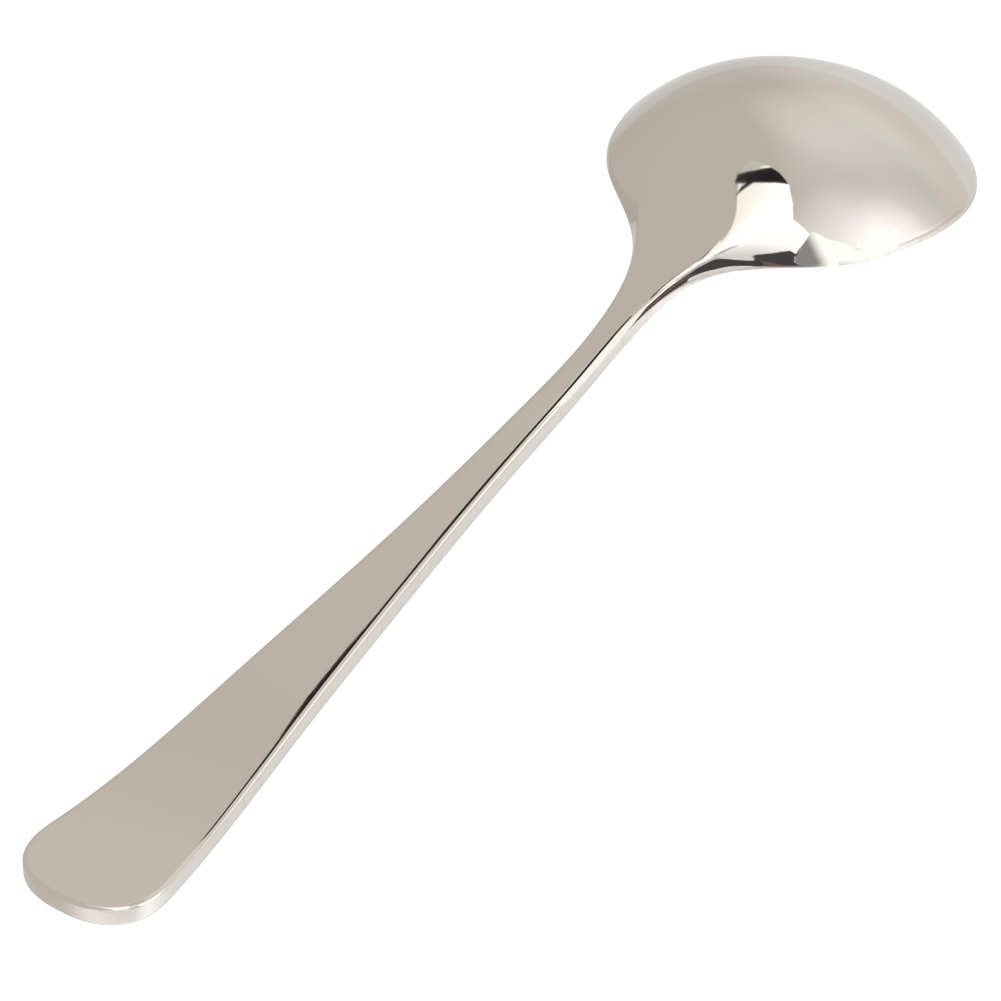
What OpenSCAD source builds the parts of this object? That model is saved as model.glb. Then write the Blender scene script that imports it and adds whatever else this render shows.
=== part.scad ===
// Soup spoon, one forged and pressed piece of polished stainless steel.
// It lies face down on a table: the tail end towards -X, the tip of the bowl towards +X, and the
// back of the bowl up. The origin is on the table, under the middle of the spoon's length.
// Every cross-section has a back face, a rounded edge, a short side wall, a second rounded edge and
// a front face. Smooth curves along the length give its width, its height, its dome and its gauge.

/* [Overall] */
// Overall length, from the tail end to the tip of the bowl
spoon_l = 190; // [165:1:220]
// Height of the back face over the table at the shoulders of the bowl
arch_h = 15; // [12:0.5:20]

/* [Handle] */
// Width of the handle near its tail end
tail_w = 18.4; // [14:0.2:24]
// Thickness of the handle at its tail end
tail_t = 3; // [2:0.1:3.6]
// Length over which the tail end rounds off
tail_round_l = 10.6; // [8:0.2:14]
// How far the tail end turns up off the table
tail_lift = 1.25; // [0.5:0.05:3]
// Width of the neck
neck_w = 4.2; // [3.4:0.1:7]
// Thickness of the neck
neck_t = 3.7; // [3:0.1:5]

/* [Bowl] */
// Length of the bowl, from the neck to the tip
bowl_l = 66; // [58:1:74]
// Width of the bowl
bowl_w = 48; // [40:0.5:56]
// Height of the bowl's back over its rim
bowl_d = 13.3; // [9:0.1:18]
// Thickness of the bowl in its middle
bowl_t = 1.5; // [1.2:0.1:2.2]
// Height of the rim's side wall with its rounded edges
rim_t = 1.2; // [1:0.05:1.8]

/* [Edges] */
// Radius of the rounded edges at the tail end
tail_edge_r = 0.6; // [0.3:0.05:0.9]
// Radius of the rounded edges at the neck
neck_edge_r = 1; // [0.5:0.05:1.3]
// Radius of the rounded edges at the rim of the bowl
rim_edge_r = 0.4; // [0.2:0.05:0.45]

/* [Hidden] */

handle_l = spoon_l - bowl_l;

// Half width along the handle, and on round the bowl: 0 is the neck, 1 is the tail or the bowl
taper_place_shares = [0.08, 0.23, 0.46, 0.69, 0.86, 0.95];
taper_shares = [1, 0.72, 0.36, 0.09, 0, 0.01];
flare_place_shares = [0.02, 0.13, 0.25, 0.42, 0.66, 1];
flare_shares = [0.06, 0.25, 0.65, 0.93, 1.01, 0.79];

// Height of the back face's edges: from where the tail rests, up to the shoulders, down to the tip
rise_place_shares = [0.15, 0.34, 0.55, 0.77, 0.92];
rise_shares = [0, 0.16, 0.35, 0.57, 0.76];
fall_place_shares = [0.08, 0.31, 0.54, 0.77, 1];
fall_shares = [1, 0.96, 0.78, 0.47, 0];

// Height of the dome over its edges: none on the handle, then over the bowl
flat_place_shares = [0.55, 0.7, 0.8, 0.88];
swell_place_share = 0.95;
swell_share = 0.01;
dome_place_shares = [0.11, 0.31, 0.54, 0.77, 0.91, 1];
dome_shares = [0.15, 0.76, 1, 0.75, 0.4, 0];
// How much of the dome's cross-section follows a fourth power, which makes its flanks fuller
dome_flank_share = 0.12;
// The neck runs on into the bowl as a flat tongue: how much of the face it takes, squared, from the
// end of the handle on, and how softly it turns into its flanks
tongue_start_share = 0.97;
tongue_place_shares = [0.06, 0.11, 0.17, 0.23, 0.3, 0.42, 0.55];
tongue_shares = [0.8, 0.8, 0.76, 0.48, 0.22, 0.07, 0, 0];
tongue_round_share = 0.25;
// Where the tongue starts to blend into the dome, and where the dome has taken over, along the bowl
blend_start_share = 0.3;
blend_end_share = 0.55;

// Thickness at the edges: along the handle from tail to neck, then from the neck to the rim
gauge_place_shares = [0, 0.23, 0.46, 0.69, 0.89];
gauge_shares = [0, 0.14, 0.6, 0.82, 1];
thin_start_share = 0.98;
thin_place_shares = [0.14, 0.31, 0.54, 1];
thin_shares = [0.79, 0.07, 0.02, 0, 0];

// Radius of the edges: from the tail to the neck along the handle, then to the rim
edge_place_shares = [0, 0.4, 0.8, 1];
edge_shares = [0, 0.5, 1, 1];
rim_place_shares = [0.16, 0.32, 0.6, 1];
rim_shares = [0.4, 0, 0, 0];
// How far the rounding lifts the rim's lowest line, as a share of its radius
rim_touch_share = 0.78;

// How square the tail end and the tip are in outline: 2 is an ellipse
tail_power = 2.35;
tip_power = 2.5;
// Where the tip starts to round off, along the bowl
tip_start_share = 0.43;

// Steps of the surface: along the tail end, the body and the tip, across a face and round an edge
tail_steps = 12;
body_steps = 52;
tip_steps = 22;
face_steps = 20;
edge_steps = 3;
// Length of the tail end that has closer steps, as a share of the length that rounds off
tail_zone_share = 1.4;
// A short way along the spoon, for the slope of its outline
probe_share = 0.00001;

steel = [0.77, 0.75, 0.72];

tail_h = tail_w / 2;
neck_h = neck_w / 2;
bowl_h = bowl_w / 2;
tip_start = handle_l + tip_start_share * bowl_l;
tail_zone_l = tail_round_l * tail_zone_share;
probe_l = spoon_l * probe_share;
tip_h = rim_t - rim_touch_share * rim_edge_r;

// The values that sizes and their shares give
function between(low, high, shares) = [for (share = shares) low + (high - low) * share];
function handle_places(shares) = between(0, handle_l, shares);
function bowl_places(shares) = between(handle_l, spoon_l, shares);

// A smooth curve through points: its places, its values and its second derivatives there.
// It is a natural cubic spline, and the two functions before it solve for the second derivatives.
function swept(steps, slopes) =
    [for (i = 0, part = 0, bend = 0; i < len(steps);
          i = i + 1,
          whole = i < len(steps) ? 2 * (steps[i - 1] + steps[i]) - steps[i - 1] * part : 1,
          bend = i < len(steps) ? (6 * (slopes[i] - slopes[i - 1]) - steps[i - 1] * bend) / whole : 0,
          part = i < len(steps) ? steps[i] / whole : 0)
        [part, bend]];
function solved(rows, i, bends) =
    i < 1 ? concat([0], bends) : solved(rows, i - 1, concat([rows[i][1] - rows[i][0] * bends[0]], bends));
function curve(places, values) =
    let (steps = [for (i = [1:len(places) - 1]) places[i] - places[i - 1]],
         slopes = [for (i = [1:len(places) - 1]) (values[i] - values[i - 1]) / steps[i - 1]])
    [places, values, solved(swept(steps, slopes), len(steps) - 1, [0])];

// The value of a curve at a place
function stretch(places, at, i = 0) =
    i >= len(places) - 2 || at < places[i + 1] ? i : stretch(places, at, i + 1);
function value(line, at) =
    let (i = stretch(line[0], at),
         step = line[0][i + 1] - line[0][i],
         near = (line[0][i + 1] - at) / step,
         far = 1 - near)
    near * line[1][i] + far * line[1][i + 1]
    + ((pow(near, 3) - near) * line[2][i] + (pow(far, 3) - far) * line[2][i + 1]) * step * step / 6;

width_line = curve(
    concat(handle_places(taper_place_shares), bowl_places(flare_place_shares)),
    concat(between(neck_h, tail_h, taper_shares), between(neck_h, bowl_h, flare_shares)));
height_line = curve(
    concat([0], handle_places(rise_place_shares), bowl_places(fall_place_shares)),
    concat([tail_t + tail_lift], between(tail_t, arch_h, rise_shares),
           between(tip_h, arch_h, fall_shares)));
dome_line = curve(
    concat(handle_places(flat_place_shares), handle_places([swell_place_share]),
           bowl_places(dome_place_shares)),
    concat([for (place = flat_place_shares) 0], [bowl_d * swell_share], bowl_d * dome_shares));
tongue_line = curve(
    concat(handle_places([tongue_start_share]), bowl_places(tongue_place_shares)),
    tongue_shares);
gauge_line = curve(
    concat(handle_places(gauge_place_shares), handle_places([thin_start_share]),
           bowl_places(thin_place_shares)),
    concat(between(tail_t, neck_t, gauge_shares), between(rim_t, neck_t, thin_shares)));
edge_line = curve(
    concat(handle_places(edge_place_shares), bowl_places(rim_place_shares)),
    concat(between(tail_edge_r, neck_edge_r, edge_shares), between(rim_edge_r, neck_edge_r, rim_shares)));

// Half width at a place, with the rounded tail end and tip
function round_tail(at) =
    pow(max(1 - pow(max(1 - at / tail_round_l, 0), tail_power), 0), 1 / tail_power);
function round_tip(at) =
    sqrt(max(1 - pow(max((at - tip_start) / (spoon_l - tip_start), 0), tip_power), 0));
function half_width(at) = value(width_line, at) * round_tail(at) * round_tip(at);

// Direction across the outline, pointing outwards on the left side
function outward(at) =
    let (low = max(at - probe_l, 0),
         high = min(at + probe_l, spoon_l),
         slope = (half_width(high) - half_width(low)) / (high - low))
    [-slope, 1] / norm([slope, 1]);

// How far the back face has fallen, as a share of the dome: on the tongue, over the dome, and blended.
// out is 0 on the middle line and 1 at the edge.
function bent(t) = t + norm([t, tongue_round_share]);
function tongue_fall(out, flat) =
    let (start = -flat / (1 - flat))
    (bent((out - flat) / (1 - flat)) - bent(start)) / (bent(1) - bent(start));
function dome_fall(out) = (1 - dome_flank_share) * out + dome_flank_share * pow(out, 2);
function fall(at, out) =
    let (ends = bowl_places([blend_start_share, blend_end_share]),
         start = handle_places([tongue_start_share])[0],
         flat = value(tongue_line, min(max(at, start), ends[1])),
         part = min(max((at - ends[0]) / (ends[1] - ends[0]), 0), 1),
         blend = pow(part, 2) * (3 - 2 * part))
    tongue_fall(out, flat) * (1 - blend) + dome_fall(out) * blend;

// Height of the back face and thickness of the spoon under it, at any place in the outline
function dome(at) = at < handle_places(flat_place_shares)[0] ? 0 : value(dome_line, at);
function outness(at, y) =
    let (half = half_width(at)) half > 0 ? pow(min(abs(y) / half, 1), 2) : 1;
function back_z(at, y) = value(height_line, at) + dome(at) * (1 - fall(at, outness(at, y)));
function depth(at, y) =
    value(gauge_line, at) + (bowl_t - rim_t) * dome(at) / bowl_d * (1 - outness(at, y));
function front_z(at, y) = back_z(at, y) - depth(at, y);

// A point of the rounded edge: 0 degrees is on the face and 90 degrees is on the side wall.
// side is 1 on the left and -1 on the right, and way is 1 on the back and -1 on the front.
function edge_point(at, angle, side, way) =
    let (r = value(edge_line, at),
         in = r * (1 - sin(angle)),
         x = at - outward(at)[0] * in,
         y = max(half_width(at) - outward(at)[1] * in, 0),
         face = way > 0 ? back_z(x, y) : front_z(x, y))
    [x, side * y, face - way * r * (1 - cos(angle))];

// One closed loop of points round the spoon at a place
edge_angles = [for (i = [1:edge_steps]) 90 * i / edge_steps];
function turned(list) = [for (i = [len(list) - 1:-1:0]) list[i]];
function loop(at) =
    let (inner = edge_point(at, 0, 1, 1),
         x = inner[0],
         ys = [for (i = [0:face_steps]) inner[1] * (2 * i / face_steps - 1)])
    concat([for (y = ys) [x, y, back_z(x, y)]],
           [for (angle = edge_angles) edge_point(at, angle, 1, 1)],
           [for (angle = turned(edge_angles)) edge_point(at, angle, 1, -1)],
           [for (y = turned(ys)) [x, y, front_z(x, y)]],
           [for (angle = edge_angles) edge_point(at, angle, -1, -1)],
           [for (angle = turned(edge_angles)) edge_point(at, angle, -1, 1)]);

// Places of the loops, closer together towards both ends
tail_places = [for (i = [0:tail_steps - 1]) tail_zone_l * (1 - cos(90 * i / tail_steps))];
body_places = between(tail_zone_l, tip_start, [for (i = [0:body_steps - 1]) i / body_steps]);
tip_places = between(tip_start, spoon_l, [for (i = [0:tip_steps]) sin(90 * i / tip_steps)]);
loops = [for (at = concat(tail_places, body_places, tip_places)) loop(at)];

// Where each part of a loop ends, counting round from the right side of the back face
ring = len(loops[0]);
back_end = face_steps;
front_start = face_steps + 2 * edge_steps + 1;
front_end = front_start + face_steps;

// The first and last loop close up flat, so their right side uses the left side's points
function folded(i) =
    i <= back_end ? 0
    : i < front_start ? i
    : i <= front_end ? front_start
    : i < ring - edge_steps ? front_start + front_end - i
    : back_end + ring - i;
function corner(row, i) =
    let (turn = i % ring)
    row * ring + (row == 0 || row == len(loops) - 1 ? folded(turn) : turn);
function is_right(i) = i < face_steps / 2 || i >= front_start + face_steps / 2;

spoon_points = [for (points = loops) each points];
spoon_faces = [
    for (row = [0:len(loops) - 2], i = [0:ring - 1])
        let (a = corner(row, i),
             b = corner(row, i + 1),
             c = corner(row + 1, i + 1),
             d = corner(row + 1, i))
        for (face = is_right(i) ? [[a, d, b], [b, d, c]] : [[a, c, b], [a, d, c]])
            if (face[0] != face[1] && face[1] != face[2] && face[2] != face[0]) face];
lowest = min([for (point = spoon_points) point[2]]);

module spoon() {
    color(steel)
        translate([-spoon_l / 2, 0, -lowest])
            polyhedron(points = spoon_points, faces = spoon_faces, convexity = 6);
}

spoon();
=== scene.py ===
"""A polished steel soup spoon, face down on a pale studio table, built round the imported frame."""

import math
from bisect import bisect_right

import bmesh
import bpy
from bpy.props import FloatProperty, FloatVectorProperty, IntProperty, PointerProperty
from mathutils import Matrix, Vector


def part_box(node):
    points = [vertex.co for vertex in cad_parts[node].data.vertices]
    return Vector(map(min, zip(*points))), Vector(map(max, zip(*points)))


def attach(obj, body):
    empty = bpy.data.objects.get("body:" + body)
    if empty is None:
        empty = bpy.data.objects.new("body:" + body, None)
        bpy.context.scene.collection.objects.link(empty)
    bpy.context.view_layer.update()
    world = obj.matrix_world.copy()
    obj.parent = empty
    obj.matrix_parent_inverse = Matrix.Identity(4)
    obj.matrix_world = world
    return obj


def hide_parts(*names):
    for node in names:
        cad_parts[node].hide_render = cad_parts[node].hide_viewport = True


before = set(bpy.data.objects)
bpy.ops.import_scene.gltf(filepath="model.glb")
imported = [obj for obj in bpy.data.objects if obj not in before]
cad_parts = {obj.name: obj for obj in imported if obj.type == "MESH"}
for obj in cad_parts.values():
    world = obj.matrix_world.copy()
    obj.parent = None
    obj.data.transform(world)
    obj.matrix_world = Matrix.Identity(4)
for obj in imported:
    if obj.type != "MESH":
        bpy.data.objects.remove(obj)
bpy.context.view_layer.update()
SPOON_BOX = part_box("spoon")
MM = 0.001

bl_info = {
    "name": "Soup Spoon",
    "version": (1, 0, 0),
    "blender": (4, 5, 0),
    "location": "3D View > Sidebar > Spoon",
    "description": "Builds a polished steel soup spoon and the studio round it",
    "category": "Add Mesh",
}


# Settings

def length(name, description, default):
    """A size in metres, shown in the scene's own units."""
    return FloatProperty(name=name, description=description, default=default, unit="LENGTH", precision=5)


def share(name, description, default):
    """A plain number, mostly between 0 and 1."""
    return FloatProperty(name=name, description=description, default=default, precision=3)


def tone(name, description, default):
    """A colour in linear light."""
    return FloatVectorProperty(name=name, description=description, default=default, size=3,
                               subtype="COLOR", min=0.0, max=8.0)


def angle(name, description, degrees):
    """An angle, given here in degrees."""
    return FloatProperty(name=name, description=description, default=math.radians(degrees),
                         subtype="ANGLE")


class SpoonSizes(bpy.types.PropertyGroup):
    """The spoon's sizes, from its tail end to the tip of its bowl."""

    spoon_l: length("Length", "Overall length", SPOON_BOX[1].x - SPOON_BOX[0].x)
    arch_h: length("Arch height", "Height of the back face over the table at the bowl's shoulders", 15 * MM)
    tail_w: length("Tail width", "Width of the handle near its tail end", 18.4 * MM)
    tail_t: length("Tail thickness", "Thickness of the handle at its tail end", 3 * MM)
    tail_round_l: length("Tail rounding", "Length over which the tail end rounds off", 10.6 * MM)
    tail_lift: length("Tail lift", "How far the tail end turns up off the table", 1.25 * MM)
    neck_w: length("Neck width", "Width of the neck", 4.2 * MM)
    neck_t: length("Neck thickness", "Thickness of the neck", 3.7 * MM)
    bowl_l: length("Bowl length", "Length of the bowl, from the neck to the tip", 66 * MM)
    bowl_w: length("Bowl width", "Width of the bowl", 48 * MM)
    bowl_d: length("Bowl depth", "Height of the bowl's back over its rim", 13.3 * MM)
    bowl_t: length("Bowl thickness", "Thickness of the bowl in its middle", 1.5 * MM)
    rim_t: length("Rim thickness", "Height of the rim's side wall with its rounded edges", 1.2 * MM)
    tail_edge_r: length("Tail edge radius", "Radius of the rounded edges at the tail end", 0.6 * MM)
    neck_edge_r: length("Neck edge radius", "Radius of the rounded edges at the neck", 1 * MM)
    rim_edge_r: length("Rim edge radius", "Radius of the rounded edges at the rim", 0.4 * MM)
    tail_steps: IntProperty(name="Tail steps", description="Steps along the tail end", default=40)
    body_steps: IntProperty(name="Body steps", description="Steps along the handle and bowl", default=420)
    tip_steps: IntProperty(name="Tip steps", description="Steps along the tip of the bowl", default=80)
    face_steps: IntProperty(name="Face steps", description="Steps across each face", default=56)
    edge_steps: IntProperty(name="Edge steps", description="Steps round each rounded edge", default=8)


class SpoonFinish(bpy.types.PropertyGroup):
    """The polished steel."""

    steel: tone("Steel", "Colour of the polished steel", (0.67, 0.65, 0.625))
    face_gloss: share("Face roughness", "Roughness of the polished faces", 0.035)
    wall_gloss: share("Wall roughness", "Roughness of the ground side walls", 0.22)
    scratch_depth: length("Scratch depth", "Depth of the finest polishing marks", 0.0006 * MM)
    ripple_depth: length("Ripple depth", "Depth of the slight waves in the polished faces", 0.004 * MM)


class StudioLook(bpy.types.PropertyGroup):
    """The table, the surroundings and the camera."""

    table: tone("Table", "Colour of the white table", (0.35, 0.35, 0.34))
    table_glow: share("Table light", "Light that the lit table gives off", 0.9)
    walls: tone("Walls", "Colour of the room round the table", (0.719, 0.661, 0.589))
    camera_azimuth: angle("Camera azimuth", "Side that the camera stands on, from +X towards +Y", -145.3887)
    camera_height: angle("Camera elevation", "Height of the camera over the horizon", 41.2881)
    camera_distance: length("Camera distance", "Distance of the camera from the origin", 847.31 * MM)
    aim_azimuth: angle("Aim azimuth", "Direction that the camera looks in, from +X towards +Y", 34.7638)
    aim_drop: angle("Aim drop", "How far the camera looks down", 41.3751)
    camera_roll: angle("Camera roll", "Roll of the camera", 0.2053)
    focal_px: FloatProperty(name="Focal length", description="Focal length in pixels of the picture",
                            default=6613.7)


# The spoon's curves: each row holds shares of the way between two sizes. Those of the width, the
# height, the dome and the gauge are rounded from a fit to the photograph. Their places, the tongue
# and the edges are set one by one

TAPER_PLACE_SHARES = (0.08, 0.23, 0.46, 0.69, 0.86, 0.95)
TAPER_SHARES = (1, 0.72, 0.36, 0.09, 0, 0.01)
FLARE_PLACE_SHARES = (0.02, 0.13, 0.25, 0.42, 0.66, 1)
FLARE_SHARES = (0.06, 0.25, 0.65, 0.93, 1.01, 0.79)
RISE_PLACE_SHARES = (0.15, 0.34, 0.55, 0.77, 0.92)
RISE_SHARES = (0, 0.16, 0.35, 0.57, 0.76)
FALL_PLACE_SHARES = (0.08, 0.31, 0.54, 0.77, 1)
FALL_SHARES = (1, 0.96, 0.78, 0.47, 0)
FLAT_PLACE_SHARES = (0.55, 0.7, 0.8, 0.88)
SWELL_PLACE_SHARE = 0.95
SWELL_SHARE = 0.01
DOME_PLACE_SHARES = (0.11, 0.31, 0.54, 0.77, 0.91, 1)
DOME_SHARES = (0.15, 0.76, 1, 0.75, 0.4, 0)
DOME_FLANK_SHARE = 0.12
TONGUE_START_SHARE = 0.97
TONGUE_PLACE_SHARES = (0.06, 0.11, 0.17, 0.23, 0.3, 0.42, 0.55)
TONGUE_SHARES = (0.8, 0.8, 0.76, 0.48, 0.22, 0.07, 0, 0)
TONGUE_ROUND_SHARE = 0.25
BLEND_SHARES = (0.3, 0.55)
GAUGE_PLACE_SHARES = (0, 0.23, 0.46, 0.69, 0.89, 0.98)
THIN_PLACE_SHARES = (0.14, 0.31, 0.54, 1)
GAUGE_SHARES = (0, 0.14, 0.6, 0.82, 1)
THIN_SHARES = (0.79, 0.07, 0.02, 0, 0)
EDGE_PLACE_SHARES = (0, 0.4, 0.8, 1)
EDGE_SHARES = (0, 0.5, 1, 1)
RIM_PLACE_SHARES = (0.16, 0.32, 0.6, 1)
RIM_SHARES = (0.4, 0, 0, 0)
RIM_TOUCH_SHARE = 0.78
TAIL_POWER = 2.35
TIP_POWER = 2.5
TIP_START_SHARE = 0.43
TAIL_ZONE_SHARE = 1.4
PROBE_SHARE = 0.00001


def between(low, high, shares):
    """The values that lie at these shares of the way from low to high."""
    return [low + (high - low) * part for part in shares]


class Curve:
    """A smooth curve through points: a natural cubic spline."""

    def __init__(self, places, values):
        self.places, self.values = places, values
        steps = [b - a for a, b in zip(places, places[1:])]
        slopes = [(b - a) / step for a, b, step in zip(values, values[1:], steps)]
        parts, bends = [0.0], [0.0]
        for i in range(1, len(steps)):
            whole = 2 * (steps[i - 1] + steps[i]) - steps[i - 1] * parts[-1]
            bends.append((6 * (slopes[i] - slopes[i - 1]) - steps[i - 1] * bends[-1]) / whole)
            parts.append(steps[i] / whole)
        self.bends = [0.0] * len(places)
        for i in range(len(steps) - 1, 0, -1):
            self.bends[i] = bends[i] - parts[i] * self.bends[i + 1]

    def __call__(self, at):
        i = min(max(bisect_right(self.places, at) - 1, 0), len(self.places) - 2)
        step = self.places[i + 1] - self.places[i]
        near = (self.places[i + 1] - at) / step
        far = 1 - near
        bend = (near ** 3 - near) * self.bends[i] + (far ** 3 - far) * self.bends[i + 1]
        return near * self.values[i] + far * self.values[i + 1] + bend * step * step / 6


class SpoonForm:
    """The spoon's outline, faces and edges. Places run from the tail end, at 0, to the tip."""

    def __init__(self, s):
        self.s = s
        self.handle_l = s.spoon_l - s.bowl_l
        tail_h, neck_h, bowl_h = s.tail_w / 2, s.neck_w / 2, s.bowl_w / 2
        tip_h = s.rim_t - RIM_TOUCH_SHARE * s.rim_edge_r
        self.width = Curve(self.on_handle(TAPER_PLACE_SHARES) + self.on_bowl(FLARE_PLACE_SHARES),
                           between(neck_h, tail_h, TAPER_SHARES) + between(neck_h, bowl_h, FLARE_SHARES))
        self.height = Curve([0.0] + self.on_handle(RISE_PLACE_SHARES) + self.on_bowl(FALL_PLACE_SHARES),
                            [s.tail_t + s.tail_lift] + between(s.tail_t, s.arch_h, RISE_SHARES)
                            + between(tip_h, s.arch_h, FALL_SHARES))
        self.swell = Curve(self.on_handle(FLAT_PLACE_SHARES + (SWELL_PLACE_SHARE,))
                           + self.on_bowl(DOME_PLACE_SHARES),
                           [0.0] * len(FLAT_PLACE_SHARES)
                           + between(0, s.bowl_d, (SWELL_SHARE,) + DOME_SHARES))
        self.gauge = Curve(self.on_handle(GAUGE_PLACE_SHARES) + self.on_bowl(THIN_PLACE_SHARES),
                           between(s.tail_t, s.neck_t, GAUGE_SHARES)
                           + between(s.rim_t, s.neck_t, THIN_SHARES))
        self.edge_r = Curve(self.on_handle(EDGE_PLACE_SHARES) + self.on_bowl(RIM_PLACE_SHARES),
                            between(s.tail_edge_r, s.neck_edge_r, EDGE_SHARES)
                            + between(s.rim_edge_r, s.neck_edge_r, RIM_SHARES))
        self.tongue = Curve(self.on_handle((TONGUE_START_SHARE,)) + self.on_bowl(TONGUE_PLACE_SHARES),
                            TONGUE_SHARES)
        self.blend = self.on_bowl(BLEND_SHARES)
        self.tip_start = self.handle_l + TIP_START_SHARE * s.bowl_l
        self.dome_start = self.on_handle(FLAT_PLACE_SHARES)[0]

    def on_handle(self, shares):
        return between(0, self.handle_l, shares)

    def on_bowl(self, shares):
        return between(self.handle_l, self.s.spoon_l, shares)

    def half_width(self, at):
        tail = max(1 - max(1 - at / self.s.tail_round_l, 0) ** TAIL_POWER, 0) ** (1 / TAIL_POWER)
        tip_l = self.s.spoon_l - self.tip_start
        tip = math.sqrt(max(1 - max((at - self.tip_start) / tip_l, 0) ** TIP_POWER, 0))
        return self.width(at) * tail * tip

    def outward(self, at):
        """Direction across the outline, outwards on the left side."""
        probe = self.s.spoon_l * PROBE_SHARE
        low, high = max(at - probe, 0), min(at + probe, self.s.spoon_l)
        slope = (self.half_width(high) - self.half_width(low)) / (high - low)
        return Vector((-slope, 1)).normalized()

    def fall(self, at, out):
        """Share of the dome that the back face has fallen: out is 0 in the middle and 1 at the edge.

        The neck runs on into the bowl as a flat tongue, which blends into the dome.
        """
        dome_fall = (1 - DOME_FLANK_SHARE) * out + DOME_FLANK_SHARE * out ** 2
        part = min(max((at - self.blend[0]) / (self.blend[1] - self.blend[0]), 0), 1)
        if part == 1:
            return dome_fall
        flat = self.tongue(max(at, self.tongue.places[0]))
        start, middle, end = [t + math.hypot(t, TONGUE_ROUND_SHARE)
                              for t in (-flat / (1 - flat), (out - flat) / (1 - flat), 1)]
        blend = part ** 2 * (3 - 2 * part)
        return (middle - start) / (end - start) * (1 - blend) + dome_fall * blend

    def back_and_front(self, at, y):
        """Heights of the back face and of the front face under it."""
        half = self.half_width(at)
        out = min(abs(y) / half, 1) ** 2 if half > 0 else 1
        dome = self.swell(at) if at > self.dome_start else 0
        back = self.height(at) + dome * (1 - self.fall(at, out))
        middle = (self.s.bowl_t - self.s.rim_t) * dome / self.s.bowl_d * (1 - out)
        return back, back - self.gauge(at) - middle

    def edge_point(self, at, turn, side, on_back):
        """A point of a rounded edge: turn is 0 on the face and a right angle on the side wall."""
        r = self.edge_r(at)
        across = self.outward(at)
        inset = r * (1 - math.sin(turn))
        x = at - across.x * inset
        y = max(self.half_width(at) - across.y * inset, 0)
        back, front = self.back_and_front(x, y)
        drop = r * (1 - math.cos(turn))
        return x, side * y, back - drop if on_back else front + drop

    def loop(self, at):
        """One closed loop of points round the spoon, each with how far it is onto the side wall."""
        face_steps, edge_steps = self.s.face_steps, self.s.edge_steps
        x, half = self.edge_point(at, 0, 1, True)[:2]
        ys = [half * math.sin(math.pi * (i / face_steps - 0.5)) for i in range(face_steps + 1)]
        faces = [self.back_and_front(x, y) for y in ys]
        turns = [math.pi / 2 * i / edge_steps for i in range(1, edge_steps + 1)]
        points = [((x, y, z[0]), 0.0) for y, z in zip(ys, faces)]
        points += [(self.edge_point(at, turn, 1, True), math.sin(turn)) for turn in turns]
        points += [(self.edge_point(at, turn, 1, False), math.sin(turn)) for turn in reversed(turns)]
        points += [((x, y, z[1]), 0.0) for y, z in zip(reversed(ys), reversed(faces))]
        points += [(self.edge_point(at, turn, -1, False), math.sin(turn)) for turn in turns]
        points += [(self.edge_point(at, turn, -1, True), math.sin(turn)) for turn in reversed(turns)]
        return points + points[:1]

    def places(self):
        """Places of the loops, closer together towards both ends."""
        tail_zone = self.s.tail_round_l * TAIL_ZONE_SHARE
        quarter = math.pi / 2
        tail_steps, body_steps, tip_steps = self.s.tail_steps, self.s.body_steps, self.s.tip_steps
        tail = [tail_zone * (1 - math.cos(quarter * i / tail_steps)) for i in range(tail_steps)]
        body = between(tail_zone, self.tip_start, [i / body_steps for i in range(body_steps)])
        tip = between(self.tip_start, self.s.spoon_l,
                      [math.sin(quarter * i / tip_steps) for i in range(tip_steps + 1)])
        return tail + body + tip


# Shader sums

class Wire:
    """A socket of a shader. A sum on it adds its math node and gives the new node's socket."""

    def __init__(self, tree, socket):
        self.tree, self.socket = tree, socket

    def _sum(self, operation, *values):
        return self.tree.node("ShaderNodeMath", {"operation": operation}, dict(enumerate(values))).out()

    def __add__(self, other):
        return self._sum("ADD", self, other)

    def __sub__(self, other):
        return self._sum("SUBTRACT", self, other)

    def __rsub__(self, other):
        return self._sum("SUBTRACT", other, self)

    def __mul__(self, other):
        return self._sum("MULTIPLY", self, other)

    __radd__ = __add__
    __rmul__ = __mul__

    def ramp(self, low, high):
        """0 below low and 1 above high, with a smooth rise between them."""
        settings = {"interpolation_type": "SMOOTHSTEP"}
        values = {"Value": self, "From Min": low, "From Max": high}
        return self.tree.node("ShaderNodeMapRange", settings, values).out("Result")

    def dot(self, direction):
        """How nearly the vector runs along a direction."""
        settings = {"operation": "DOT_PRODUCT"}
        return self.tree.node("ShaderNodeVectorMath", settings, {0: self, 1: direction}).out("Value")


class Node:
    """A node that has been placed in a tree."""

    def __init__(self, tree, made):
        self.tree, self.made = tree, made

    def out(self, name=0):
        return Wire(self.tree, self.made.outputs[name])


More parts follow.
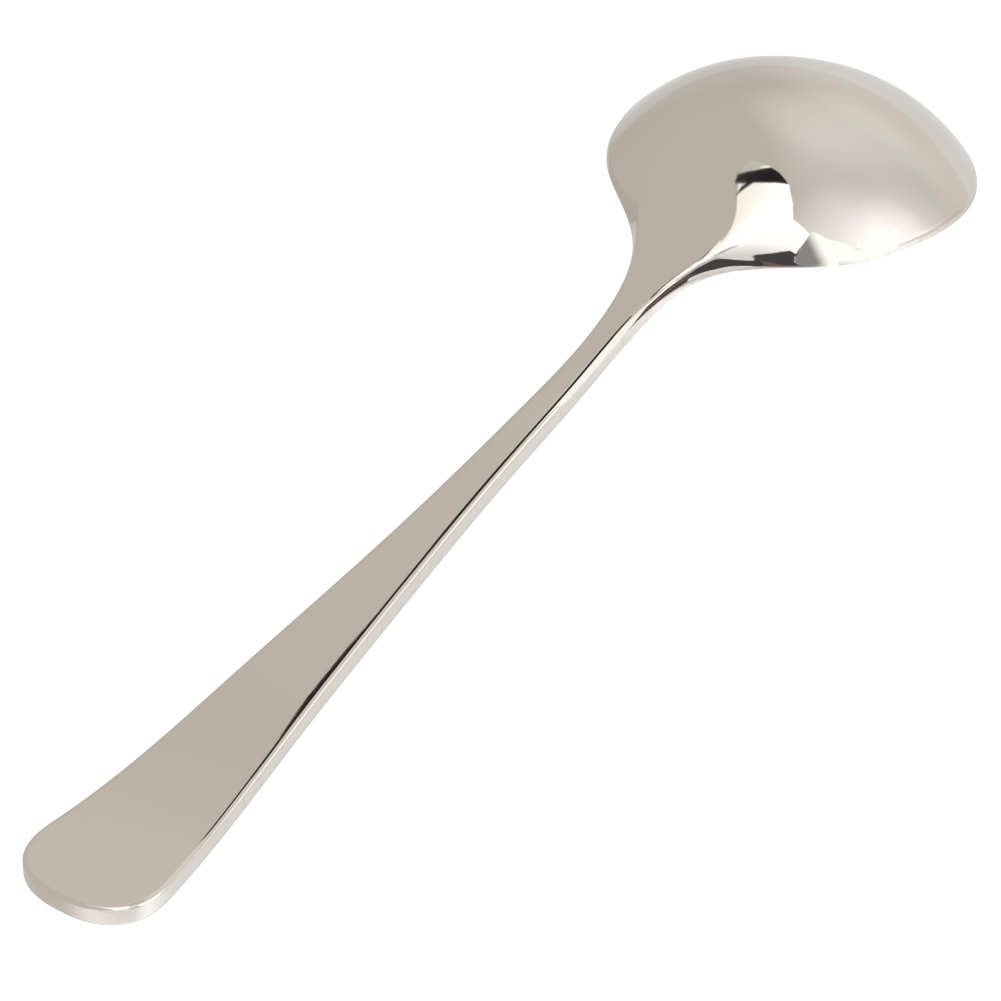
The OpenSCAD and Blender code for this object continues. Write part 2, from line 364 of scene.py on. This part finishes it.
class Tree:
    """The shader nodes of one material or world."""

    def __init__(self, owner):
        owner.use_nodes = True
        self.nodes, self.links = owner.node_tree.nodes, owner.node_tree.links
        self.nodes.clear()

    def node(self, kind, settings=None, inputs=None):
        """A new node, with its settings made first and then its sockets' values or links."""
        made = self.nodes.new(kind)
        for name, value in (settings or {}).items():
            setattr(made, name, value)
        for name, value in (inputs or {}).items():
            if isinstance(value, Wire):
                self.links.new(value.socket, made.inputs[name])
            else:
                made.inputs[name].default_value = value
        return Node(self, made)

    def noise(self, place, scale, detail):
        values = {"Vector": place, "Scale": scale, "Detail": detail, "Roughness": 0.5}
        return self.node("ShaderNodeTexNoise", None, values).out()

    def mix(self, amount, a, b):
        """A colour between two."""
        return self.node("ShaderNodeMix", {"data_type": "RGBA"}, {0: amount, 6: a, 7: b}).out(2)

    def added(self, colour, amount, more):
        """A colour with an amount of another added to it."""
        return self.node("ShaderNodeMix", {"data_type": "RGBA", "blend_type": "ADD"},
                         {0: amount, 6: colour, 7: (*more, 1.0)}).out(2)

    def stretched(self, place, scale, turn=(0.0, 0.0, 0.0)):
        """The place, turned and scaled differently along each axis."""
        values = {"Vector": place, "Scale": scale, "Rotation": turn}
        return self.node("ShaderNodeMapping", None, values).out()


# The steel's marks and a painted lighter reflection at the tail end: scales per metre, ranges of the noise
# that show, and what they add or leave
WALL_RANGE = (0.9, 1.0)
SMUDGE_SCALE = 90.0
SMUDGE_DETAIL = 4.0
SMUDGE_RANGE = (0.45, 0.75)
SMUDGE_ROUGHNESS = 0.03
GRAIN_SCALES = (900.0, 900.0, 120.0)
GRAIN_DETAIL = 3.0
GRAIN_ROUGHNESS = 0.12
GRAIN_DEPTH = 0.003 * MM
WORN_RANGE = (0.55, 0.8)
WORN_SHARE = 0.86
# Painted lighter reflection: past a line across the tail end the steel's colour is made a little brighter,
# where the end bends up
TAIL_SHEEN_SIDE = (0.873, 0.488, 0.0)
TAIL_SHEEN_RANGE = (-74.5 * MM, -69 * MM)
TAIL_SHEEN_SHARE = 1.02
RIPPLE_SCALES = (40.0, 60.0, 60.0)
SCRATCH_SCALES = (700.0, 3000.0, 3000.0)
SCRATCH_DETAIL = 2.0
SCRATCH_TURN = (0.0, 0.0, 0.2)
GRAZING_TINT = 0.82


def steel_material(finish):
    """Polished stainless steel: bright faces, ground side walls, a few faint marks and a painted lighter
    reflection at the tail end.
    """
    material = bpy.data.materials.new("polished_steel")
    tree = Tree(material)
    steel, worn, tail_sheen_steel = [(*(part * amount for part in finish.steel), 1.0)
                               for amount in (1.0, WORN_SHARE, TAIL_SHEEN_SHARE)]
    place = tree.node("ShaderNodeTexCoord").out("Object")
    wall = tree.node("ShaderNodeAttribute", {"attribute_name": "side_wall"}).out("Fac").ramp(*WALL_RANGE)
    smudge = tree.noise(place, SMUDGE_SCALE, SMUDGE_DETAIL).ramp(*SMUDGE_RANGE)
    grain = tree.noise(tree.stretched(place, GRAIN_SCALES), 1.0, GRAIN_DETAIL)
    gloss = (finish.face_gloss + smudge * SMUDGE_ROUGHNESS
             + wall * (finish.wall_gloss + grain * GRAIN_ROUGHNESS))
    # Painted lighter reflection: the steel past a line across the tail end gets a brighter colour
    tail = 1.0 - place.dot(TAIL_SHEEN_SIDE).ramp(*TAIL_SHEEN_RANGE)
    colour = tree.mix(tail, tree.mix(wall * grain.ramp(*WORN_RANGE), steel, worn), tail_sheen_steel)
    ripple = tree.noise(tree.stretched(place, RIPPLE_SCALES), 1.0, 1.0)
    scratch = tree.noise(tree.stretched(place, SCRATCH_SCALES, SCRATCH_TURN), 1.0, SCRATCH_DETAIL)
    height = ripple * finish.ripple_depth + scratch * finish.scratch_depth + wall * grain * GRAIN_DEPTH
    bump = tree.node("ShaderNodeBump", None, {"Height": height, "Distance": 1.0, "Strength": 1.0})
    inputs = {"Base Color": colour, "Metallic": 1.0, "Roughness": gloss, "Normal": bump.out(),
              "Specular Tint": (GRAZING_TINT, GRAZING_TINT, GRAZING_TINT, 1.0)}
    shader = tree.node("ShaderNodeBsdfPrincipled", None, inputs)
    tree.node("ShaderNodeOutputMaterial", None, {"Surface": shader.out()})
    return material


SAME_PLACE = 0.0001 * MM


def build_spoon(sizes, finish):
    """The spoon in place of the frame's spoon: a grid laid round it as a tube and closed."""
    form = SpoonForm(sizes)
    places = form.places()
    loops = [form.loop(at) for at in places]
    rows, columns = len(loops) - 1, len(loops[0]) - 1
    bm = bmesh.new()
    bmesh.ops.create_grid(bm, x_segments=columns, y_segments=rows, size=0.5)
    side_wall = bm.verts.layers.float.new("side_wall")
    lowest = min(point[2] for points in loops for point, _ in points)
    move = Vector((-sizes.spoon_l / 2, 0, -lowest))
    for vert in bm.verts:
        column, row = round((vert.co.x + 0.5) * columns), round((vert.co.y + 0.5) * rows)
        point, amount = loops[row][column]
        vert[side_wall] = amount
        vert.co = Vector(point) + move
    bmesh.ops.remove_doubles(bm, verts=bm.verts, dist=SAME_PLACE)
    bmesh.ops.recalc_face_normals(bm, faces=bm.faces)
    for face in bm.faces:
        face.smooth = True
    mesh = bpy.data.meshes.new("soup_spoon")
    bm.to_mesh(mesh)
    bm.free()
    mesh.materials.append(steel_material(finish))
    piece = bpy.data.objects.new("soup_spoon", mesh)
    bpy.context.scene.collection.objects.link(piece)
    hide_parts("spoon")
    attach(piece, "root")


# The studio

def glowing(name, tint, fade=None):
    """A material that only gives off light, in one tint or fading into another along a direction."""
    material = bpy.data.materials.new(name)
    tree = Tree(material)
    colour = (*tint, 1.0)
    if fade:
        direction, low, high, other = fade
        place = tree.node("ShaderNodeTexCoord").out("Object")
        colour = tree.mix(place.dot(direction).ramp(low * MM, high * MM), colour, (*other, 1.0))
    light = tree.node("ShaderNodeEmission", None, {"Color": colour, "Strength": 1.0})
    tree.node("ShaderNodeOutputMaterial", None, {"Surface": light.out()})
    return material


def add_card(name, corners, tint, fade=None):
    """A card of the studio, which shows only as a reflection and casts no shadow."""
    bm = bmesh.new()
    bmesh.ops.contextual_create(bm, geom=[bm.verts.new(Vector(corner) * MM) for corner in corners])
    mesh = bpy.data.meshes.new(name)
    bm.to_mesh(mesh)
    bm.free()
    mesh.materials.append(glowing(name, tint, fade))
    made = bpy.data.objects.new(name, mesh)
    made.visible_camera = False
    made.visible_shadow = False
    made.visible_diffuse = False
    bpy.context.scene.collection.objects.link(made)


# Cards by their corners in millimetres, placed where the photograph's reflections lead back to.
# These lie flat, four over the spoon and one under the table
SOFTBOX = ((-1500, -1500, 500), (-400, -400, 500), (-92, 70, 500), (-74, 142, 500), (-35, 155, 500),
           (-9, 142, 500), (31, 118, 500), (54, 21, 500), (57, -59, 500), (50, -114, 500),
           (41, -181, 500), (28, -200, 500), (7, -246, 500), (-24, -308, 500), (-63, -368, 500),
           (-107, -427, 500), (-163, -486, 500), (-172, -501, 500), (-147, -598, 500),
           (-300, -1500, 500))
GREY_RIM = ((-46, 161, 499), (-35, 156, 499), (-9, 143, 499), (32, 119, 499), (56, 21, 499),
            (43, 9, 499), (14, 79, 499), (-15, 117, 499))
BLACK_FLAG = ((10, 64, 220), (20, 49, 220), (29, 32, 220), (39, 16, 220), (51, -3, 220), (53, -29, 220),
              (50, -52, 220), (45, -80, 220), (36, -54, 220), (28, -28, 220), (22, -5, 220),
              (15, 22, 220), (9, 41, 220), (4, 50, 220), (-6, 60, 220), (0, 66, 220))
NECK_CARD = ((35, 25, -60), (185, 396, -60), (-155, 400, -60), (-35, 30, -60))
HANDLE_FLAG = ((-60, 3.5, 25), (-50, 5.6, 25), (-40, 6.6, 25), (-30, 7, 25), (-20, 7, 25), (-10, 6, 25),
               (0, 3, 25), (8, 1, 25), (16, -0.5, 25), (22, -1.2, 25), (27, -2, 25), (27, -5, 25),
               (24, -8, 25), (16, -9, 25), (8, -8.4, 25), (0, -7.6, 25), (-10, -6.1, 25),
               (-20, -5.4, 25), (-30, -6.2, 25), (-40, -6.4, 25), (-50, -6.6, 25), (-60, -6.8, 25))


def upright(turn, off, corners):
    """Corners on an upright plane, turned by some degrees and off the origin: along it and up."""
    a = math.radians(turn)
    return [(off * math.sin(a) + along * math.cos(a), along * math.sin(a) - off * math.cos(a), up)
            for along, up in corners]


# A white sheet with a beige gap stands far off, and small dark, grey and white cards near the neck
SIDE_SHEET = upright(0, 501, ((-1500, -700), (-1500, 499.8), (-172, 499.8), (-147, 470), (-114, 419),
                              (18, 322), (49, 309), (89, 275), (109, 268), (123, 276), (153, 296),
                              (281, 268), (390, 240), (250, 215), (250, -120), (-20, -120), (-60, -700)))
SHEET_EDGE = upright(0, 500.5, ((18, 326), (46, 310), (89, 279), (130, 268), (130, 262), (89, 273),
                                (46, 302), (18, 319)))
SHEET_GAP = upright(0, 500.4, ((-186, -90), (-195, 0), (-197, 95), (-222, 253), (-240, 262), (-60, 300),
                               (-40, 215), (-60, -30), (-90, -90)))
DARK_CARD = upright(15, 30, ((19, 11.3), (19, 15.5), (21.3, 15.5), (22.05, 15.8), (22.45, 17.4),
                             (22.85, 19.1), (23.5, 20.1), (24.5, 21), (25.7, 21.4), (29.2, 21.5),
                             (31.8, 21.1), (34.9, 20.9), (33, 19.8), (32, 18.6), (31, 15), (31, 9.4),
                             (33.8, 10.2), (33.8, 8), (29, 4), (26.5, 4), (25.2, 8), (24.2, 10.6),
                             (23, 9.9), (22.1, 9.7), (21.6, 10.2), (20.6, 10.9)))
BRONZE_CARD = upright(15, 29.9, ((23.2, 15.4), (24.7, 15), (26.9, 12.8), (29.6, 11.8), (29.6, 10.8),
                                 (26.8, 10.6), (24.3, 11.8), (23.2, 11.6)))
BLANK_CARD = upright(15, 20, ((14, 3), (14, 40), (24.6, 40), (24.6, 3)))
WHITE_CARD = upright(0, 40.2, ((38.5, 12), (41, 31), (43, 34.5), (45, 33.2), (48, 31.2), (51, 28.5),
                               (53, 26.3), (57, 25), (60, 22), (63, 12), (63, -12), (46, -5), (44, 2),
                               (41, 9)))
GREY_CARD = upright(15, 30.1, ((30.5, 4), (30.5, 12), (31, 15), (32, 18.6), (33, 19.8), (34.9, 20.8),
                               (36, 21.1), (38.6, 21.9), (39.3, 21.9), (40.6, 20), (41.2, 18),
                               (41.2, 4)))

CARD_WHITE = (1.6, 1.58, 1.52)

# Each card's name, corners and tint, and what some fade into: a direction, two places in mm and a tint
CARDS = (
    ("softbox", SOFTBOX, (1.7, 1.7, 1.68), ((0.3, 1.0, 0.0), -250, 60, (1.42, 1.36, 1.26))),
    ("grey_rim", GREY_RIM, (0.77, 0.75, 0.71)),
    ("black_flag", BLACK_FLAG, (0.025, 0.022, 0.024)),
    ("side_sheet", SIDE_SHEET, (1.0, 0.98, 0.95), ((1.0, 0.0, 1.0), -200, 150, (1.65, 1.63, 1.58))),
    ("sheet_edge", SHEET_EDGE, (0.72, 0.65, 0.57)),
    ("sheet_gap", SHEET_GAP, (0.75, 0.7, 0.63)),
    ("dark_card", DARK_CARD, (0.085, 0.075, 0.08)),
    ("bronze_card", BRONZE_CARD, (0.24, 0.15, 0.108)),
    ("blank_card", BLANK_CARD, (1.4, 1.38, 1.33)),
    ("white_card", WHITE_CARD, CARD_WHITE),
    ("grey_card", GREY_CARD, (0.36, 0.36, 0.36), ((0.966, 0.259, 0.0), 36.6, 40.2, CARD_WHITE)),
    ("neck_card", NECK_CARD, (0.68, 0.61, 0.54)),
    ("handle_flag", HANDLE_FLAG, (0.03, 0.027, 0.025)),
)

# Soft lights of the room: azimuth and elevation in degrees, the cosines from the middle at which each
# starts and is full, whether it is also seen below the horizon, and the light that it adds. Most tints
# come from a fit to the photograph's tones
ROOM_LIGHTS = (
    (20, -60, 0.57, 0.64, True, (0.075, 0.105, 0.135)),
    (30, -66, 0.6, 0.9, True, (0.09, 0.13, 0.165)),
    (-125, -35, 0.35, 0.7, True, (0.5, 0.52, 0.56)),
    (-55, -33, 0.82, 0.93, True, (0.28, 0.25, 0.26)),
    (3, -6, 0.8, 1.0, True, (0.204, 0.2, 0.197)),
    (35, -9, 0.9, 1.0, True, (0.06, 0.067, 0.076)),
    (-90, -16, 0.3, 1.0, False, (0.66, 0.66, 0.64)),
    (-75, 5, 0.8, 1.0, False, (0.3, 0.3, 0.32)),
    (-92, 28, 0.8, 1.0, False, (0.161, 0.177, 0.225)),
    (-60, 18, 0.95, 1.0, False, (0.2, 0.18, 0.19)),
    (-32, 42, 0.6, 1.0, False, (0.105, 0.12, 0.133)),
    (1, 39, 0.8, 1.0, False, (0.14, 0.138, 0.13)),
)


TABLE_RADIUS = 12.0
TABLE_SEGMENTS = 96
HORIZON_RANGE = (-0.12, 0.05)
PICTURE_PX = 1001
SENSOR_MM = 36.0
CLIP_RANGE = (0.01, 50.0)


def direction(azimuth, elevation):
    """The direction at an azimuth, from +X towards +Y, and an elevation over the horizon."""
    flat = math.cos(elevation)
    return Vector((math.cos(azimuth) * flat, math.sin(azimuth) * flat, math.sin(elevation)))


def build_studio(look):
    """The table, the surroundings, the lights and the camera."""
    bm = bmesh.new()
    bmesh.ops.create_circle(bm, cap_ends=True, segments=TABLE_SEGMENTS, radius=TABLE_RADIUS)
    mesh = bpy.data.meshes.new("table_top")
    bm.to_mesh(mesh)
    bm.free()
    material = bpy.data.materials.new("white_table")
    tree = Tree(material)
    matte = tree.node("ShaderNodeBsdfDiffuse", None, {"Color": (*look.table, 1.0)})
    glow = tree.node("ShaderNodeEmission", None,
                     {"Color": (1.0, 1.0, 1.0, 1.0), "Strength": look.table_glow})
    both = tree.node("ShaderNodeAddShader", None, {0: matte.out(), 1: glow.out()})
    tree.node("ShaderNodeOutputMaterial", None, {"Surface": both.out()})
    mesh.materials.append(material)
    table = bpy.data.objects.new("table_top", mesh)
    table.visible_glossy = False
    bpy.context.scene.collection.objects.link(table)

    world = bpy.data.worlds.new("studio_room")
    bpy.context.scene.world = world
    tree = Tree(world)
    way = tree.node("ShaderNodeTexCoord").out("Generated")
    over_table = way.dot((0.0, 0.0, 1.0)).ramp(*HORIZON_RANGE)
    colour = (*look.walls, 1.0)
    for azimuth, elevation, low, high, on_table, tint in ROOM_LIGHTS:
        middle = direction(math.radians(azimuth), math.radians(elevation))
        near = way.dot(middle).ramp(low, high)
        colour = tree.added(colour, near if on_table else near * over_table, tint)
    background = tree.node("ShaderNodeBackground", None, {"Color": colour, "Strength": 1.0})
    tree.node("ShaderNodeOutputWorld", None, {"Surface": background.out()})

    for row in CARDS:
        add_card(*row)

    stand = direction(look.camera_azimuth, look.camera_height)
    aim = direction(look.aim_azimuth, -look.aim_drop)
    turn = aim.to_track_quat("-Z", "Y").to_matrix().to_4x4() @ Matrix.Rotation(look.camera_roll, 4, "Z")
    data = bpy.data.cameras.new("camera")
    data.sensor_width = SENSOR_MM
    data.lens = look.focal_px * data.sensor_width / PICTURE_PX
    data.clip_start, data.clip_end = CLIP_RANGE
    camera = bpy.data.objects.new("camera", data)
    camera.matrix_world = Matrix.Translation(stand * look.camera_distance) @ turn
    bpy.context.scene.collection.objects.link(camera)
    bpy.context.scene.camera = camera
    bpy.context.scene.view_settings.view_transform = "Standard"


# Operators and panel

class SPOON_OT_add_spoon(bpy.types.Operator):
    """Build the soup spoon in place of the frame's spoon"""

    bl_idname = "spoon.add_spoon"
    bl_label = "Add the soup spoon"

    def execute(self, context):
        build_spoon(context.scene.spoon_sizes, context.scene.spoon_finish)
        return {"FINISHED"}


class SPOON_OT_add_studio(bpy.types.Operator):
    """Build the table, the lights and the camera"""

    bl_idname = "spoon.add_studio"
    bl_label = "Add the studio"

    def execute(self, context):
        build_studio(context.scene.spoon_studio)
        return {"FINISHED"}


class SPOON_PT_sidebar(bpy.types.Panel):
    """Lists what can be built"""

    bl_idname = "SPOON_PT_sidebar"
    bl_label = "Soup Spoon"
    bl_space_type = "VIEW_3D"
    bl_region_type = "UI"
    bl_category = "Spoon"

    def draw(self, context):
        for operator in (SPOON_OT_add_spoon, SPOON_OT_add_studio):
            self.layout.operator(operator.bl_idname)


CLASSES = (SpoonSizes, SpoonFinish, StudioLook,
           SPOON_OT_add_spoon, SPOON_OT_add_studio, SPOON_PT_sidebar)


def register():
    for cls in CLASSES:
        bpy.utils.register_class(cls)
    bpy.types.Scene.spoon_sizes = PointerProperty(type=SpoonSizes)
    bpy.types.Scene.spoon_finish = PointerProperty(type=SpoonFinish)
    bpy.types.Scene.spoon_studio = PointerProperty(type=StudioLook)


def unregister():
    for name in ("spoon_sizes", "spoon_finish", "spoon_studio"):
        delattr(bpy.types.Scene, name)
    for cls in reversed(CLASSES):
        bpy.utils.unregister_class(cls)


def main():
    register()
    bpy.ops.spoon.add_spoon()
    bpy.ops.spoon.add_studio()


if __name__ == "__main__":
    main()
